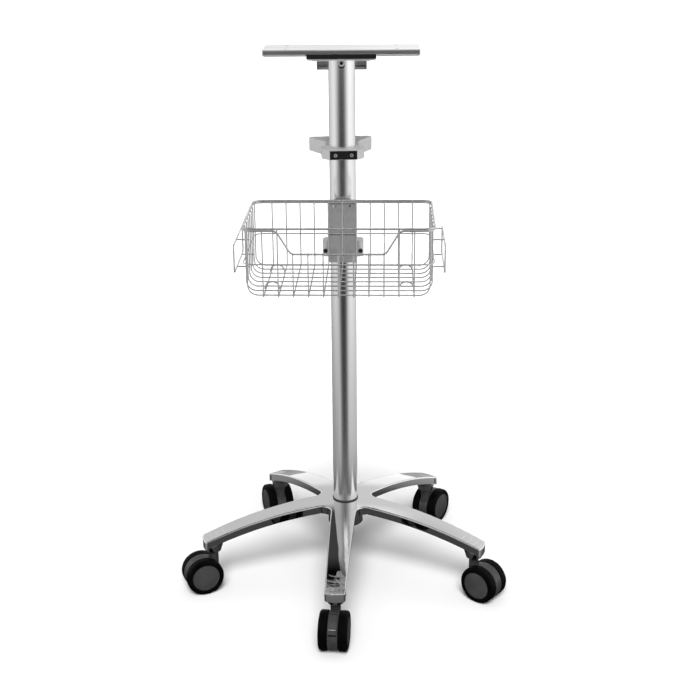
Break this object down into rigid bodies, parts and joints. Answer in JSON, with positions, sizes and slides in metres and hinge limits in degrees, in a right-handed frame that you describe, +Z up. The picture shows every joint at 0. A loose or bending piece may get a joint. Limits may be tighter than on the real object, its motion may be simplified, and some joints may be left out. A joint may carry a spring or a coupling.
{
  "type": "patient monitor roll stand",
  "caption": "Wheeled roll stand that carries a patient monitor: star base on twin-wheel casters, round column, push handle, wire basket and top plate.",
  "frame": {"origin": "on the floor, on the axis of the column", "axes": "+Z up along the column; -Y is the front, the basket's side; +X along the top plate's long side"},
  "size_m": [0.6498, 0.6348, 1.0647],
  "materials": {
    "polished_aluminium": "mirror polished casting",
    "satin_aluminium": "satin anodised extrusion",
    "plate_aluminium": "fine brushed and anodised",
    "clamp_aluminium": "bead blasted",
    "zinc_steel": "zinc plated",
    "black_screw": "black oxide",
    "wire_white": "silver white powder coat",
    "bracket_grey": "dark grey powder coat",
    "pad_black": "moulded matte",
    "seal_black": "soft matte",
    "plug_plastic": "moulded",
    "tyre_black": "smooth polyurethane",
    "housing_grey": "fine spark texture",
    "hub_grey": "fine spark texture"
  },
  "bodies": {
    "stand": {"base_star": "polished_aluminium", "caster_stems": "zinc_steel", "column_tube": "satin_aluminium", "column_seal_ring": "seal_black", "column_foot_plug": "plug_plastic", "column_anchor_bolt": "zinc_steel", "head_flange": "plate_aluminium", "head_pad": "pad_black", "monitor_plate": "plate_aluminium", "plate_side_rails": "plate_aluminium", "head_pad_screws": "zinc_steel", "head_crossbar": "clamp_aluminium", "head_clamp_screw": "zinc_steel"},
    "handle": {"handle_clamp_front": "clamp_aluminium", "handle_clamp_rear": "clamp_aluminium", "handle_face_plate": "pad_black", "handle_screws": "zinc_steel", "handle_strap": "clamp_aluminium"},
    "basket": {"basket_rim_wire": "wire_white", "basket_lower_rim_wire": "wire_white", "basket_mid_ring": "wire_white", "basket_cross_wires": "wire_white", "basket_long_wires": "wire_white", "basket_floor_arches": "wire_white", "basket_side_rails": "wire_white", "basket_back_plate": "bracket_grey", "basket_clamp_front": "clamp_aluminium", "basket_clamp_rear": "clamp_aluminium", "basket_screws": "black_screw"},
    "caster_front": {"caster_front_housing": "housing_grey", "caster_front_axle": "zinc_steel"},
    "wheel_front_a": {"caster_front_tyre_a": "tyre_black", "caster_front_core_a": "hub_grey"},
    "wheel_front_b": {"caster_front_tyre_b": "tyre_black", "caster_front_core_b": "hub_grey"},
    "caster_right": {"caster_right_housing": "housing_grey", "caster_right_axle": "zinc_steel"},
    "wheel_right_a": {"caster_right_tyre_a": "tyre_black", "caster_right_core_a": "hub_grey"},
    "wheel_right_b": {"caster_right_tyre_b": "tyre_black", "caster_right_core_b": "hub_grey"},
    "caster_back_right": {"caster_back_right_housing": "housing_grey", "caster_back_right_axle": "zinc_steel"},
    "wheel_back_right_a": {"caster_back_right_tyre_a": "tyre_black", "caster_back_right_core_a": "hub_grey"},
    "wheel_back_right_b": {"caster_back_right_tyre_b": "tyre_black", "caster_back_right_core_b": "hub_grey"},
    "caster_back_left": {"caster_back_left_housing": "housing_grey", "caster_back_left_axle": "zinc_steel"},
    "wheel_back_left_a": {"caster_back_left_tyre_a": "tyre_black", "caster_back_left_core_a": "hub_grey"},
    "wheel_back_left_b": {"caster_back_left_tyre_b": "tyre_black", "caster_back_left_core_b": "hub_grey"},
    "caster_left": {"caster_left_housing": "housing_grey", "caster_left_axle": "zinc_steel"},
    "wheel_left_a": {"caster_left_tyre_a": "tyre_black", "caster_left_core_a": "hub_grey"},
    "wheel_left_b": {"caster_left_tyre_b": "tyre_black", "caster_left_core_b": "hub_grey"},
    "brake_pedal": {"caster_front_brake_pedal": "housing_grey"}
  },
  "joints": [
    {"name": "handle_height", "type": "slide", "parent": "stand", "child": "handle", "axis": [0, 0, 1], "range_m": [-0.06, 0.1]},
    {"name": "basket_height", "type": "slide", "parent": "stand", "child": "basket", "axis": [0, 0, 1], "range_m": [-0.25, 0.06]},
    {"name": "caster_front_swivel", "type": "hinge", "parent": "stand", "child": "caster_front", "pos_m": [-0.01673, -0.27349, 0.07], "axis": [0, 0, 1], "continuous": true},
    {"name": "wheel_front_a_roll", "type": "hinge", "parent": "caster_front", "child": "wheel_front_a", "pos_m": [-0.01929, -0.29785, 0.0375], "axis": [0.9945, -0.1045, 0], "continuous": true},
    {"name": "wheel_front_b_roll", "type": "hinge", "parent": "caster_front", "child": "wheel_front_b", "pos_m": [-0.01929, -0.29785, 0.0375], "axis": [0.9945, -0.1045, 0], "continuous": true},
    {"name": "caster_right_swivel", "type": "hinge", "parent": "stand", "child": "caster_right", "pos_m": [0.25493, -0.10042, 0.07], "axis": [0, 0, 1], "continuous": true},
    {"name": "wheel_right_a_roll", "type": "hinge", "parent": "caster_right", "child": "wheel_right_a", "pos_m": [0.27397, -0.11584, 0.0375], "axis": [0.6293, 0.7771, 0], "continuous": true},
    {"name": "wheel_right_b_roll", "type": "hinge", "parent": "caster_right", "child": "wheel_right_b", "pos_m": [0.27397, -0.11584, 0.0375], "axis": [0.6293, 0.7771, 0], "continuous": true},
    {"name": "caster_back_right_swivel", "type": "hinge", "parent": "stand", "child": "caster_back_right", "pos_m": [0.17428, 0.21143, 0.07], "axis": [0, 0, 1], "continuous": true},
    {"name": "wheel_back_right_a_roll", "type": "hinge", "parent": "caster_back_right", "child": "wheel_back_right_a", "pos_m": [0.18763, 0.23197, 0.0375], "axis": [-0.8387, 0.5446, 0], "continuous": true},
    {"name": "wheel_back_right_b_roll", "type": "hinge", "parent": "caster_back_right", "child": "wheel_back_right_b", "pos_m": [0.18763, 0.23197, 0.0375], "axis": [-0.8387, 0.5446, 0], "continuous": true},
    {"name": "caster_back_left_swivel", "type": "hinge", "parent": "stand", "child": "caster_back_left", "pos_m": [-0.14722, 0.23109, 0.07], "axis": [0, 0, 1], "continuous": true},
    {"name": "wheel_back_left_a_roll", "type": "hinge", "parent": "caster_back_left", "child": "wheel_back_left_a", "pos_m": [-0.1558, 0.25404, 0.0375], "axis": [-0.9367, -0.3502, 0], "continuous": true},
    {"name": "wheel_back_left_b_roll", "type": "hinge", "parent": "caster_back_left", "child": "wheel_back_left_b", "pos_m": [-0.1558, 0.25404, 0.0375], "axis": [-0.9367, -0.3502, 0], "continuous": true},
    {"name": "caster_left_swivel", "type": "hinge", "parent": "stand", "child": "caster_left", "pos_m": [-0.26527, -0.0686, 0.07], "axis": [0, 0, 1], "continuous": true},
    {"name": "wheel_left_a_roll", "type": "hinge", "parent": "caster_left", "child": "wheel_left_a", "pos_m": [-0.28799, -0.07778, 0.0375], "axis": [0.3746, -0.9272, 0], "continuous": true},
    {"name": "wheel_left_b_roll", "type": "hinge", "parent": "caster_left", "child": "wheel_left_b", "pos_m": [-0.28799, -0.07778, 0.0375], "axis": [0.3746, -0.9272, 0], "continuous": true},
    {"name": "brake_pedal_press", "type": "hinge", "parent": "caster_front", "child": "brake_pedal", "pos_m": [-0.0202, -0.30649, 0.06778], "axis": [0.9945, -0.1045, 0], "range_deg": [0, 8]}
  ]
}
